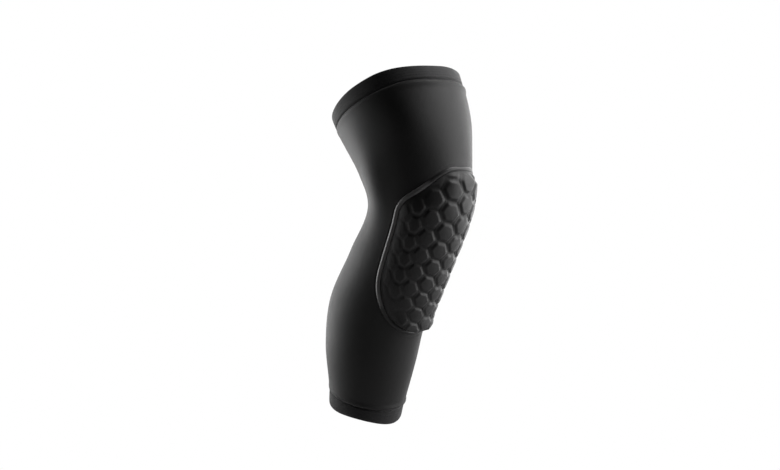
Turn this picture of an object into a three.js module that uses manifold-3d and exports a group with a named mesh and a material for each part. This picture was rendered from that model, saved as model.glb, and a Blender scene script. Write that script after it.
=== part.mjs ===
// Padded leg sleeve: a knitted compression tube in the shape of the bent leg that fills it, with a folded hem
// at each opening and a foam pad of raised hexagon cells over the knee and shin, framed by a welded rim.
// Millimetres, +Z up. The knee faces -Y, and the origin is the middle of the leg at the knee.

import * as THREE from "three";
import { mergeVertices } from "three/addons/utils/BufferGeometryUtils.js";
import Module from "manifold-3d";

// Cloth
const FABRIC = 1.5; // wall of the knitted tube
const HEM_FABRIC = 2.6; // a hem is the same knit folded double
const HEM_INSET = 0.7; // how far a hem draws in under the tube's outer face
const PIECE_GAP = 0.3; // clearance between pieces that touch

// Sections of the worn tube from the calf opening to the thigh opening, by the height of their middles.
// forward places the middle, tilt raises the front edge in degrees, front, back and side are outer half
// sizes, and egg narrows the front as a share of the width.
const SECTIONS = [
  { height: -259, forward: -83, tilt: -12, front: 48, back: 49, side: 46, egg: 0.04 }, // calf edge
  { height: -243, forward: -80, tilt: -13, front: 50, back: 50, side: 48, egg: 0.05 }, // calf seam
  { height: -186, forward: -72, tilt: -14, front: 59, back: 60, side: 57, egg: 0.08 },
  { height: -130, forward: -58, tilt: -15, front: 61, back: 64, side: 60, egg: 0.12 }, // widest calf
  { height: -66, forward: -28, tilt: -12, front: 60, back: 61, side: 57, egg: 0.1 },
  { height: 0, forward: 0, tilt: 2, front: 62, back: 59, side: 59, egg: 0.06 }, // knee
  { height: 50, forward: -4, tilt: 16, front: 70, back: 68, side: 69, egg: 0.02 },
  { height: 110, forward: -25, tilt: 23, front: 81, back: 81, side: 80, egg: 0 }, // thigh seam
  { height: 130, forward: -36, tilt: 24, front: 82, back: 82, side: 80, egg: 0 }, // thigh edge
];
const [CALF_EDGE, CALF_SEAM] = SECTIONS.map((row) => row.height);
const [THIGH_SEAM, THIGH_EDGE] = SECTIONS.slice(-2).map((row) => row.height);
const AROUND = 40; // facets round the tube
const TUBE_STEPS = 18; // facets along the tube between the hems
const HEM_STEPS = 2;

// Pad, laid out on the tube's outer face: across runs round the leg from the front line, along runs up the
// front line from the pad's top.
const PAD_TOP = 29; // height of the pad's top on the front line
const PAD_CORNERS = [
  { across: 26, along: 0, round: 14 },
  { across: 80, along: -36, round: 14 },
  { across: 72, along: -153, round: 20 },
  { across: 46, along: -194, round: 20 },
  { across: 14, along: -208, round: 12 },
];
const PAD_MIDDLE = -100; // along, where the rings of the panel close
const SEAT_GAP = 0.6; // pad to tube at the facets' corners, which leaves a clear gap between them
const RIM_WIDTH = 4.2;
const RIM_HEIGHT = 5;
const RIM_STEPS = 56;
const RIM_SIDES = 6;
const PANEL = 2.2; // panel between the cells
const PANEL_RINGS = [1, 0.86, 0.7, 0.54, 0.38, 0.22, 0.1]; // shares of the panel's own outline

// Hexagon cells: their rows shrink towards the foot of the pad, and their columns towards its sides.
const CELL_TOP = 24.5; // row pitch at the pad's top
const CELL_FOOT = 18.5; // row pitch at its foot
const CELL_START = 16; // from the pad's top to the middle of the first cell on the front line
const CELL_RISE = 4.5; // how far a row climbs from each column to the next
const COLUMN_REACH = 92; // columns stand at this times the sine of their turn from the front line
const COLUMN_TURN = 13.5; // degrees from column to column
const COLUMNS_ASIDE = 4;
const CELL_ROWS = 9;
const CELL_FILL = 0.88; // share of the pitch that a cell's own hexagon takes
const CELL_LEAST = 0.25; // share of its hexagon that a cell cut by the rim must keep
const CELL_HEIGHT = 8.5; // crown of a cell above the tube
const CELL_SHOULDER = 7.6; // where its wall turns into its top
const CELL_TOP_SHARE = 0.8; // its top as a share of its foot
const CELL_MARGIN = 2; // between the edge cells and the panel's edge
const CELL_SINK = 0.8; // how deep a cell is fused into the panel

const wasm = await Module();
wasm.setup();

// The tube's outer face

const SECTION_SIZES = ["forward", "tilt", "front", "back", "side", "egg"];
const sectionSpline = new THREE.CubicInterpolant(
  SECTIONS.map((row) => row.height),
  SECTIONS.flatMap((row) => SECTION_SIZES.map((size) => row[size])),
  SECTION_SIZES.length,
);

// A point of the outer face: angle 0 is the front, and it grows towards +X.
function outerPoint(height, angle) {
  const [forward, tilt, front, back, side, egg] = sectionSpline.evaluate(height);
  const lean = THREE.MathUtils.degToRad(tilt);
  const depth = (Math.cos(angle) > 0 ? front : back) * Math.cos(angle);
  const across = side * Math.sin(angle) * (1 - egg * Math.cos(angle));
  return new THREE.Vector3(across, -forward - depth * Math.cos(lean), height + depth * Math.sin(lean));
}

// The same point moved out of the face, or into the wall where lift is negative.
function facePoint(height, angle, lift) {
  const step = 0.5;
  const turn = 0.01;
  const low = Math.max(height - step, CALF_EDGE);
  const high = Math.min(height + step, THIGH_EDGE);
  const up = outerPoint(high, angle).sub(outerPoint(low, angle));
  const round = outerPoint(height, angle + turn).sub(outerPoint(height, angle - turn));
  return outerPoint(height, angle).addScaledVector(round.cross(up).normalize(), lift);
}

// Running length of a line of points, as the three.js interpolant from that length to the line's parameter.
function lengthTable(parameters, pointAt) {
  const lengths = [0];
  parameters.slice(1).forEach((parameter, i) => {
    lengths.push(lengths[i] + pointAt(parameter).distanceTo(pointAt(parameters[i])));
  });
  return new THREE.LinearInterpolant(lengths, parameters, 1);
}

function spread(from, to, steps) {
  return Array.from({ length: steps + 1 }, (_, i) => THREE.MathUtils.lerp(from, to, i / steps));
}

// Solids

// A closed body from a ring of rings: each ring joins the next, and the last joins the first.
function ringLoop(rings) {
  const size = rings[0].length;
  const index = [];
  rings.forEach((_, i) => {
    const next = (i + 1) % rings.length;
    for (let k = 0; k < size; k++) {
      const [a, b] = [i * size + k, i * size + ((k + 1) % size)];
      const [c, d] = [next * size + k, next * size + ((k + 1) % size)];
      index.push(a, b, d, a, d, c);
    }
  });
  return new THREE.BufferGeometry().setFromPoints(rings.flat()).setIndex(index);
}

// A closed body from a stack of rings, with a point closing each end.
function ringStack(foot, rings, crown) {
  const size = rings[0].length;
  const index = [];
  const last = (rings.length - 1) * size + 1;
  const end = last + size;
  for (let k = 0; k < size; k++) {
    const next = (k + 1) % size;
    index.push(0, 1 + next, 1 + k, end, last + k, last + next);
    for (let i = 0; i < rings.length - 1; i++) {
      const [low, high] = [1 + i * size, 1 + (i + 1) * size];
      index.push(low + k, low + next, high + next, low + k, high + next, high + k);
    }
  }
  return new THREE.BufferGeometry().setFromPoints([foot, ...rings.flat(), crown]).setIndex(index);
}

function toSolid(geometry) {
  const merged = mergeVertices(geometry);
  const vertProperties = merged.getAttribute("position").array;
  return new wasm.Manifold(
    new wasm.Mesh({ numProp: 3, vertProperties, triVerts: new Uint32Array(merged.index.array) }),
  );
}

function toGeometry(solid) {
  const { vertProperties, triVerts } = solid.getMesh();
  return new THREE.BufferGeometry()
    .setAttribute("position", new THREE.BufferAttribute(vertProperties, 3))
    .setIndex(new THREE.BufferAttribute(triVerts, 1));
}

// Tube and hems

function tubeWall(low, high, steps, outside, thickness) {
  const angles = spread(0, 2 * Math.PI, AROUND).slice(0, AROUND);
  const ring = (height, lift) => angles.map((angle) => facePoint(height, angle, lift));
  const heights = spread(low, high, steps);
  const outer = heights.map((height) => ring(height, outside));
  const inner = heights.map((height) => ring(height, outside - thickness)).reverse();
  return ringLoop([...outer, ...inner]);
}

// Pad

const frontHeight = lengthTable(spread(CALF_EDGE, THIGH_EDGE, 180), (height) => outerPoint(height, 0));
const padTopLength = frontLengthAt(PAD_TOP);

function frontLengthAt(height) {
  const below = spread(CALF_EDGE, height, 180).map((h) => outerPoint(h, 0));
  return below.slice(1).reduce((sum, point, i) => sum + point.distanceTo(below[i]), 0);
}

function padPoint({ x: across, y: along }, lift) {
  const [height] = frontHeight.evaluate(padTopLength + along);
  const girth = lengthTable(spread(0, Math.PI, 60), (angle) => outerPoint(height, angle));
  const [angle] = girth.evaluate(Math.abs(across));
  return facePoint(height, Math.sign(across) * angle, lift);
}

// The middle line of the rim, as points of the flat layout
function padOutline() {
  const half = (side) =>
    PAD_CORNERS.map(({ across, along, round }) => ({ at: new THREE.Vector2(side * across, along), round }));
  const corners = [...half(1).reverse(), ...half(-1)];
  const path = new THREE.Path();
  corners.forEach(({ at, round }, i) => {
    const before = corners.at(i - 1).at;
    const after = corners[(i + 1) % corners.length].at;
    const from = before.clone().sub(at).setLength(round).add(at);
    const to = after.clone().sub(at).setLength(round).add(at);
    if (i === 0) path.moveTo(from.x, from.y);
    else path.lineTo(from.x, from.y);
    path.quadraticCurveTo(at.x, at.y, to.x, to.y);
  });
  path.closePath();
  return path.getSpacedPoints(RIM_STEPS).slice(0, RIM_STEPS);
}

// The outline moved outwards, or inwards where distance is negative
function offset(points, distance) {
  return points.map((point, i) => {
    const along = points[(i + 1) % points.length].clone().sub(points.at(i - 1)).normalize();
    return point.clone().addScaledVector(new THREE.Vector2(along.y, -along.x), distance);
  });
}

function padRim(outline) {
  const half = RIM_WIDTH / 2;
  const profile = spread(0, Math.PI, RIM_SIDES - 1).map((turn) => ({
    out: half * Math.cos(turn),
    lift: SEAT_GAP + (RIM_HEIGHT - SEAT_GAP) * Math.sin(turn) ** 0.7,
  }));
  const loops = profile.map(({ out, lift }) => offset(outline, out).map((point) => padPoint(point, lift)));
  return ringLoop(loops);
}

function padPanel(outline) {
  const middle = new THREE.Vector2(0, PAD_MIDDLE);
  const ring = (share, lift) => outline.map((point) => padPoint(middle.clone().lerp(point, share), lift));
  const under = [...PANEL_RINGS].reverse().map((share) => ring(share, SEAT_GAP));
  const over = PANEL_RINGS.map((share) => ring(share, PANEL));
  return ringStack(padPoint(middle, SEAT_GAP), [...under, ...over], padPoint(middle, PANEL));
}

// A point of the cells' lattice
const PAD_FOOT = Math.min(...PAD_CORNERS.map((corner) => corner.along));
const LATTICE_REACH = (-PAD_FOOT * CELL_TOP) / (CELL_TOP - CELL_FOOT);
const ROW_RATIO = 1 - CELL_TOP / LATTICE_REACH;

function latticePoint(column, row) {
  const share = ROW_RATIO ** row;
  const turn = THREE.MathUtils.degToRad(column * COLUMN_TURN);
  const across = share * COLUMN_REACH * Math.sin(turn);
  const climb = share * CELL_RISE * Math.abs(column);
  return new THREE.Vector2(across, LATTICE_REACH * (share - 1) - CELL_START + climb);
}

const HEXAGON = spread(0, 2 * Math.PI, 6).slice(0, 6).map((turn) => ({
  columns: (2 / 3) * Math.cos(turn),
  rows: -Math.sin(turn) / Math.sqrt(3),
}));

// Keeps the part of a polygon that lies inside a convex outline which runs anticlockwise
function clip(polygon, outline) {
  return outline.reduce((kept, from, i) => {
    const edge = outline[(i + 1) % outline.length].clone().sub(from);
    const inside = (point) => edge.cross(point.clone().sub(from));
    return kept.flatMap((point, k) => {
      const next = kept[(k + 1) % kept.length];
      const [here, there] = [inside(point), inside(next)];
      const points = here >= 0 ? [point] : [];
      if (here * there < 0) points.push(point.clone().lerp(next, here / (here - there)));
      return points;
    });
  }, polygon);
}

function centreOf(polygon) {
  return polygon.reduce((sum, point) => sum.add(point), new THREE.Vector2()).divideScalar(polygon.length);
}

function padCell(polygon) {
  const centre = centreOf(polygon);
  const ring = (share, lift) => polygon.map((point) => padPoint(centre.clone().lerp(point, share), lift));
  const rings = [ring(1, PANEL - CELL_SINK), ring(CELL_TOP_SHARE, CELL_SHOULDER)];
  return ringStack(padPoint(centre, PANEL - CELL_SINK), rings, padPoint(centre, CELL_HEIGHT));
}

function kneePad(outline) {
  const panel = offset(outline, -RIM_WIDTH / 2 - PIECE_GAP);
  const border = offset(panel, -CELL_MARGIN);
  const solids = [toSolid(padPanel(panel))];
  for (let column = -COLUMNS_ASIDE; column <= COLUMNS_ASIDE; column++) {
    for (let step = -1; step <= CELL_ROWS; step++) {
      const row = step + (column % 2 ? 0.5 : 0);
      const hexagon = HEXAGON.map(({ columns, rows }) =>
        latticePoint(column + columns * CELL_FILL, row + rows * CELL_FILL),
      );
      const cell = clip(hexagon, border);
      const kept = cell.length > 2 ? THREE.ShapeUtils.area(cell) / THREE.ShapeUtils.area(hexagon) : 0;
      if (kept > CELL_LEAST) solids.push(toSolid(padCell(cell)));
    }
  }
  return toGeometry(wasm.Manifold.union(solids));
}

// Assembly

const knit = { color: 0x1a1a1c, roughness: 0.78, metalness: 0 };
const hem = { color: 0x202023, roughness: 0.72, metalness: 0 };
const pad = { color: 0x1d1d1f, roughness: 0.62, metalness: 0 };

const sleeve = new THREE.Group();
function addPiece(name, geometry, finish) {
  const piece = new THREE.Mesh(geometry, new THREE.MeshStandardMaterial(finish));
  piece.name = name;
  sleeve.add(piece);
}

const outline = padOutline();
const seam = PIECE_GAP / 2;
addPiece("sleeve_body", tubeWall(CALF_SEAM + seam, THIGH_SEAM - seam, TUBE_STEPS, 0, FABRIC), knit);
addPiece("top_hem", tubeWall(THIGH_SEAM + seam, THIGH_EDGE, HEM_STEPS, -HEM_INSET, HEM_FABRIC), hem);
addPiece("bottom_hem", tubeWall(CALF_EDGE, CALF_SEAM - seam, HEM_STEPS, -HEM_INSET, HEM_FABRIC), hem);
addPiece("knee_pad", kneePad(outline), pad);
addPiece("pad_rim", padRim(outline), pad);

export default sleeve;
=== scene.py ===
import math

import bmesh
import bpy
import numpy as np
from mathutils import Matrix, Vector


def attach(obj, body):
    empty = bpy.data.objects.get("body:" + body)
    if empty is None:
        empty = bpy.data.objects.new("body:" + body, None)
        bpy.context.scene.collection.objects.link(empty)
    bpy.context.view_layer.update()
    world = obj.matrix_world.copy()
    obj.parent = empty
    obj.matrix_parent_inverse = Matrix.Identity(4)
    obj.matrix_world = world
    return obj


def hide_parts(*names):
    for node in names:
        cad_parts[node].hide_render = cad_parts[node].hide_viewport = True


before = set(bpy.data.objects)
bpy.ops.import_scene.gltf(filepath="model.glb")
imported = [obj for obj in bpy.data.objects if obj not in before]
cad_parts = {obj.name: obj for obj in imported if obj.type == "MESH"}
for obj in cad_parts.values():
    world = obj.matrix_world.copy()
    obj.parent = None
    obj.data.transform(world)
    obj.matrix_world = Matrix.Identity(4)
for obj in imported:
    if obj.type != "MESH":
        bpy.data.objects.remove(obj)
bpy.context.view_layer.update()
scene = bpy.context.scene
mm = 0.001
print("frame loaded:", sorted(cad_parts))

# Cross sections of the worn tube from the calf edge to the thigh edge, in mm and degrees
tubeShape = {
    "height": (-259, -243, -186, -130, -66, 0, 50, 110, 130),
    "forward": (-83, -80, -72, -58, -28, 0, -4, -25, -36),
    "tilt": (-12, -13, -14, -15, -12, 2, 16, 23, 24),
    "front": (48, 50, 59, 61, 60, 62, 70, 81, 82),
    "back": (49, 50, 60, 64, 61, 59, 68, 81, 82),
    "side": (46, 48, 57, 60, 57, 59, 69, 80, 80),
    "egg": (0.04, 0.05, 0.08, 0.12, 0.1, 0.06, 0.02, 0, 0),
}
calfEdge, calfSeam, thighSeam, thighEdge = -259, -243, 114.3, 130


def sectionAt(height):
    # a cubic through the rows, whose slope at a row is the mean of its two neighbours' slopes
    rows = np.array(tubeShape["height"], float)
    sizes = np.array([tubeShape[n] for n in ("forward", "tilt", "front", "back", "side", "egg")], float)
    steps = np.diff(sizes) / np.diff(rows)
    slopes = np.concatenate([steps[:, :1], (steps[:, 1:] + steps[:, :-1]) / 2, steps[:, -1:]], axis=1)
    at = np.clip(np.searchsorted(rows, height, side="right") - 1, 0, len(rows) - 2)
    span = rows[at + 1] - rows[at]
    p = (height - rows[at]) / span
    low, high = sizes[:, at], sizes[:, at + 1]
    bend = slopes[:, at] * span * (p**3 - 2 * p**2 + p) + slopes[:, at + 1] * span * (p**3 - p**2)
    return low + (high - low) * (3 * p**2 - 2 * p**3) + bend


def outerPoint(height, angle):
    # angle 0 is the front and it grows towards +X
    height, angle = np.broadcast_arrays(np.asarray(height, float), np.asarray(angle, float))
    forward, tilt, front, back, side, egg = sectionAt(height)
    lean = np.radians(tilt)
    depth = np.where(np.cos(angle) > 0, front, back) * np.cos(angle)
    across = side * np.sin(angle) * (1 - egg * np.cos(angle))
    return np.stack([across, -forward - depth * np.cos(lean), height + depth * np.sin(lean)], axis=-1)


probe = {"angle": 0.01, "height": 0.5}  # steps that slopes are taken over, in radians and mm


def outerNormal(height, angle):
    around = outerPoint(height, angle + probe["angle"]) - outerPoint(height, angle - probe["angle"])
    upward = outerPoint(height + probe["height"], angle) - outerPoint(height - probe["height"], angle)
    normal = np.cross(around, upward)
    return normal / np.linalg.norm(normal, axis=-1, keepdims=True)


def facePoint(height, angle, lift):
    return outerPoint(height, angle) + outerNormal(height, angle) * np.asarray(lift, float)[..., None]


def ease(value, low, high):
    share = np.clip((value - low) / (high - low), 0, 1)
    return share * share * (3 - 2 * share)


def runLength(line):
    # length from the first point of a line to each of its points
    return np.concatenate([[0], np.cumsum(np.linalg.norm(np.diff(line, axis=0), axis=1))])


# Meshes

def addObject(name, data):
    made = bpy.data.objects.new(name, data)
    scene.collection.objects.link(made)
    return made


def addMarks(mesh, marks):
    for mark, values in (marks or {}).items():
        attribute = mesh.attributes.new(mark, "FLOAT", "POINT")
        attribute.data.foreach_set("value", values.astype(np.float32).ravel())


def quadMesh(name, points, quads, uvs, marks=None):
    mesh = bpy.data.meshes.new(name)
    mesh.vertices.add(len(points))
    mesh.vertices.foreach_set("co", (points * mm).astype(np.float32).ravel())
    mesh.loops.add(quads.size)
    mesh.loops.foreach_set("vertex_index", quads.astype(np.int32).ravel())
    mesh.polygons.add(len(quads))
    mesh.polygons.foreach_set("loop_start", np.arange(0, quads.size, quads.shape[1], dtype=np.int32))
    mesh.polygons.foreach_set("use_smooth", np.ones(len(quads), dtype=bool))
    layer = mesh.uv_layers.new(name="stitchGrid")
    layer.uv.foreach_set("vector", uvs.astype(np.float32).ravel())
    addMarks(mesh, marks)
    mesh.update(calc_edges=True)
    mesh.validate()
    return addObject(name, mesh)


def bandMesh(name, rings, stitchAcross, stitchUp, marks=None):
    # rings of points that join the next ring, and the last the first, so the wall closes on itself
    count, size = rings.shape[:2]
    i, k = np.meshgrid(np.arange(count), np.arange(size), indexing="ij")
    nextI, nextK = (i + 1) % count, (k + 1) % size
    quads = np.stack([i * size + k, i * size + nextK, nextI * size + nextK, nextI * size + k], axis=-1)
    left, right = stitchAcross[k], stitchAcross[k + 1]
    low, high = stitchUp[i], stitchUp[i + 1]
    corners = ((left, low), (right, low), (right, high), (left, high))
    uvs = np.stack([np.stack(corner, -1) for corner in corners], 2)
    return quadMesh(name, rings.reshape(-1, 3), quads.reshape(-1, 4), uvs.reshape(-1, 2), marks)


def gridQuads(rows, columns):
    # the numbers of a grid's points, and the quads between them
    number = np.arange(rows * columns).reshape(rows, columns)
    corners = (number[:-1, :-1], number[:-1, 1:], number[1:, 1:], number[1:, :-1])
    return number, np.stack(corners, axis=-1).reshape(-1, 4)


def placePiece(piece, slot, material, *nodes):
    if material.name not in piece.data.materials:
        piece.data.materials.append(material)
    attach(piece, "root")
    if nodes:
        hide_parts(*nodes)


# Pad layout: across and along are lengths over the tube's front, in mm, from the middle of the pad's top edge

padLayout = {
    "top": 29,
    "corners": (  # across, along, round
        (26, 0, 14), (79.4, -36, 14), (70.8, -153, 20), (46, -194, 20), (14, -208, 12),
    ),
    "cornerPoints": 40,
    "rimWidth": 4.2,
    "pieceGap": 0.3,
    "seat": 0.6,
}

layoutTable = {"heights": 781, "angles": 181, "girths": 390, "reach": 130, "step": 0.5}

padFoot = min(corner[1] for corner in padLayout["corners"])
heightTable = np.linspace(calfEdge, thighEdge, layoutTable["heights"])
frontLength = runLength(outerPoint(heightTable, 0.0))
padTopLength = np.interp(padLayout["top"], heightTable, frontLength)

angleTable = np.linspace(0, math.pi, layoutTable["angles"])
girthHeights = np.linspace(calfEdge, thighEdge, layoutTable["girths"])
girthReach = np.arange(0, layoutTable["reach"], layoutTable["step"])
girthRings = outerPoint(girthHeights[:, None], angleTable[None, :])
girthAngles = np.stack([np.interp(girthReach, runLength(ring), angleTable) for ring in girthRings])


def padSpot(across, along):
    # height and angle of a point of the layout
    height = np.interp(padTopLength + along, frontLength, heightTable)
    row = np.clip((height - calfEdge) / (girthHeights[1] - girthHeights[0]), 0, len(girthHeights) - 1.001)
    reach = np.clip(np.abs(across) / layoutTable["step"], 0, len(girthReach) - 1.001)
    i, j = row.astype(int), reach.astype(int)
    p, q = row - i, reach - j
    low = girthAngles[i, j] * (1 - q) + girthAngles[i, j + 1] * q
    high = girthAngles[i + 1, j] * (1 - q) + girthAngles[i + 1, j + 1] * q
    return height, np.sign(across) * (low * (1 - p) + high * p)


def padPoint(across, along, lift):
    height, angle = padSpot(np.asarray(across, float), np.asarray(along, float))
    return facePoint(height, angle, np.broadcast_to(np.asarray(lift, float), height.shape))


def padNormal(across, along):
    return outerNormal(*padSpot(np.asarray(across, float), np.asarray(along, float)))


def evenly(line, count):
    # points at even steps round a closed line
    closed = np.vstack([line, line[:1]])
    length = runLength(closed)
    at = np.linspace(0, length[-1], count, endpoint=False)
    return np.stack([np.interp(at, length, closed[:, n]) for n in range(2)], axis=1)


def rimLine(count):
    # the middle line of the rim, anticlockwise, with rounded corners
    corners = list(padLayout["corners"])[::-1] + [(-a, b, r) for a, b, r in padLayout["corners"]]
    spots = np.array([corner[:2] for corner in corners], float)
    p = np.linspace(0, 1, padLayout["cornerPoints"])[:, None]
    line = []
    for i, at in enumerate(spots):
        before, after, turn = spots[i - 1], spots[(i + 1) % len(spots)], corners[i][2]
        start = at + (before - at) / np.linalg.norm(before - at) * turn
        end = at + (after - at) / np.linalg.norm(after - at) * turn
        line.append((1 - p) ** 2 * start + 2 * p * (1 - p) * at + p**2 * end)
    return evenly(np.vstack(line), count)


def movedOut(line, distance):
    along = np.roll(line, -1, axis=0) - np.roll(line, 1, axis=0)
    along /= np.linalg.norm(along, axis=1, keepdims=True)
    return line + np.stack([along[:, 1], -along[:, 0]], axis=1) * distance


def padEdge(count):
    # the outline of the pad itself, just inside the rim
    return movedOut(rimLine(count), -padLayout["rimWidth"] / 2 - padLayout["pieceGap"])


def farFromLine(points, line):
    # distance to a closed line, positive inside it
    start, end = line, np.roll(line, -1, axis=0)
    edge = end - start
    best = np.full(len(points), 1e9)
    inside = np.zeros(len(points), bool)
    for a, b, e in zip(start, end, edge):
        away = points - a
        share = np.clip(away @ e / (e @ e), 0, 1)
        best = np.minimum(best, np.linalg.norm(away - share[:, None] * e, axis=1))
        crosses = (a[1] > points[:, 1]) != (b[1] > points[:, 1])
        where = a[0] + (points[:, 1] - a[1]) * e[0] / (e[1] if e[1] else 1e-12)
        inside ^= crosses & (points[:, 0] < where)
    return np.where(inside, best, -best)


# Shader helpers and shared groups

def addNode(tree, kind, **settings):
    node = tree.nodes.new(kind)
    for name, value in settings.items():
        setattr(node, name, value)
    return node


def setInputs(node, values):
    for name, value in values.items():
        node.inputs[name].default_value = value


def math2(tree, operation, first, second=None, clamp=False):
    node = addNode(tree, "ShaderNodeMath", operation=operation, use_clamp=clamp)
    for socket, value in zip(node.inputs, (first, second)):
        if isinstance(value, (int, float)):
            socket.default_value = value
        elif value is not None:
            tree.links.new(value, socket)
    return node.outputs[0]


def newGroup(name, inputs, outputs):
    group = bpy.data.node_groups.new(name, "ShaderNodeTree")
    for label, kind, value in inputs:
        socket = group.interface.new_socket(label, in_out="INPUT", socket_type=kind)
        if value is not None:
            socket.default_value = value
    for label, kind in outputs:
        group.interface.new_socket(label, in_out="OUTPUT", socket_type=kind)
    return group, group.nodes.new("NodeGroupInput").outputs, group.nodes.new("NodeGroupOutput").inputs


def fromMiddle(tree, value):
    # 0 at one half and 1 at nought and one
    return math2(tree, "MULTIPLY", math2(tree, "ABSOLUTE", math2(tree, "SUBTRACT", value, 0.5)), 2.0)


def knitLoops():
    # rows of leaning loops, one wale and one course to each unit of the grid
    tree, given, result = newGroup(
        "knitLoops",
        [
            ("Grid", "NodeSocketVector", None),
            ("Lean", "NodeSocketFloat", 0.55),
            ("Depth", "NodeSocketFloat", 0.7),
        ],
        [("Height", "NodeSocketFloat"), ("Hollow", "NodeSocketFloat")],
    )
    parts = addNode(tree, "ShaderNodeSeparateXYZ")
    tree.links.new(given["Grid"], parts.inputs[0])
    off = fromMiddle(tree, math2(tree, "FRACT", parts.outputs["X"]))
    course = math2(tree, "ADD", parts.outputs["Y"], math2(tree, "MULTIPLY", off, given["Lean"]))
    bend = fromMiddle(tree, math2(tree, "FRACT", course))
    flank = fromMiddle(tree, off)
    crown = math2(tree, "SUBTRACT", 1.0, math2(tree, "MULTIPLY", flank, flank))
    dip = math2(tree, "MULTIPLY", math2(tree, "POWER", bend, 3.0), given["Depth"])
    height = math2(tree, "MULTIPLY", crown, math2(tree, "SUBTRACT", 1.0, dip))
    tree.links.new(height, result["Height"])
    tree.links.new(math2(tree, "SUBTRACT", 1.0, height, clamp=True), result["Hollow"])
    return tree


toneMix = {
    "detail": 4.0,
    "detailRough": 0.6,
    "spread": 0.9,
    "even": 0.42,
    "hollowPaintedShade": 0.5,
    "paintedLightAndWearGain": 0.8,
    "roughSpread": 0.12,
    "rubSmooth": 0.06,
    "hollowRough": 0.1,
}


def clothTone():
    # broad uneven dye, painted shade in the knit's hollows, and a share moved by wear, painted light and
    # painted shade, as a colour and a roughness
    tree, given, result = newGroup(
        "clothTone",
        [
            ("Place", "NodeSocketVector", None),
            ("Dark", "NodeSocketColor", (0.01, 0.01, 0.01, 1)),
            ("Light", "NodeSocketColor", (0.02, 0.02, 0.02, 1)),
            ("Hollow", "NodeSocketFloat", 0.0),
            ("Wear And Painted Light", "NodeSocketFloat", 0.0),
            ("Patch Size", "NodeSocketFloat", 30.0),
            ("Rough", "NodeSocketFloat", 0.6),
        ],
        [("Color", "NodeSocketColor"), ("Roughness", "NodeSocketFloat")],
    )
    patch = addNode(tree, "ShaderNodeTexNoise", noise_dimensions="3D")
    setInputs(patch, {"Detail": toneMix["detail"], "Roughness": toneMix["detailRough"]})
    tree.links.new(given["Place"], patch.inputs["Vector"])
    tree.links.new(given["Patch Size"], patch.inputs["Scale"])
    uneven = math2(tree, "SUBTRACT", patch.outputs["Fac"], 0.5)
    share = math2(tree, "ADD", math2(tree, "MULTIPLY", uneven, toneMix["spread"]), toneMix["even"])
    # painted shade: the tone is darker in the hollows between knit loops
    share = math2(tree, "SUBTRACT", share, math2(tree, "MULTIPLY", given["Hollow"], toneMix["hollowPaintedShade"]))
    # the mark's share: wear, painted light and painted shade, as each material's mark holds them
    share = math2(tree, "ADD", share, math2(tree, "MULTIPLY", given["Wear And Painted Light"], toneMix["paintedLightAndWearGain"]), clamp=True)
    mix = addNode(tree, "ShaderNodeMix", data_type="RGBA")
    tree.links.new(share, mix.inputs["Factor"])
    tree.links.new(given["Dark"], mix.inputs[6])
    tree.links.new(given["Light"], mix.inputs[7])
    tree.links.new(mix.outputs[2], result["Color"])
    rough = math2(tree, "ADD", given["Rough"], math2(tree, "MULTIPLY", uneven, toneMix["roughSpread"]))
    rough = math2(tree, "SUBTRACT", rough, math2(tree, "MULTIPLY", given["Wear And Painted Light"], toneMix["rubSmooth"]))
    rough = math2(tree, "ADD", rough, math2(tree, "MULTIPLY", given["Hollow"], toneMix["hollowRough"]))
    tree.links.new(rough, result["Roughness"])
    return tree


loopsGroup = knitLoops()
toneGroup = clothTone()


def knitMaterial(name, look):
    material = bpy.data.materials.new(name)
    material.use_nodes = True
    tree = material.node_tree
    shader = tree.nodes["Principled BSDF"]
    place = addNode(tree, "ShaderNodeTexCoord").outputs["Object"]
    grid = addNode(tree, "ShaderNodeUVMap", uv_map="stitchGrid").outputs["UV"]
    loops = addNode(tree, "ShaderNodeGroup", node_tree=loopsGroup)
    setInputs(loops, {"Lean": look["lean"], "Depth": look["loopDepth"]})
    tree.links.new(grid, loops.inputs["Grid"])
    tone = addNode(tree, "ShaderNodeGroup", node_tree=toneGroup)
    setInputs(tone, {
        "Dark": (*look["dark"], 1), "Light": (*look["light"], 1),
        "Patch Size": look["patch"], "Rough": look["rough"],
    })
    tree.links.new(place, tone.inputs["Place"])
    tree.links.new(loops.outputs["Hollow"], tone.inputs["Hollow"])
    # a mark brings wear, painted light and painted shade into the tone
    if look.get("paintedLightAndWearMark"):
        rub = addNode(tree, "ShaderNodeAttribute", attribute_name=look["paintedLightAndWearMark"])
        tree.links.new(rub.outputs["Fac"], tone.inputs["Wear And Painted Light"])
    tree.links.new(tone.outputs["Color"], shader.inputs["Base Color"])
    tree.links.new(tone.outputs["Roughness"], shader.inputs["Roughness"])
    bump = addNode(tree, "ShaderNodeBump")
    setInputs(bump, {"Strength": look["bump"], "Distance": look["relief"] * mm})
    tree.links.new(loops.outputs["Height"], bump.inputs["Height"])
    tree.links.new(bump.outputs["Normal"], shader.inputs["Normal"])
    setInputs(shader, {
        "Sheen Weight": look["sheen"], "Sheen Roughness": look["sheenRough"],
        "Specular IOR Level": look["gloss"],
    })
    return material


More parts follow.
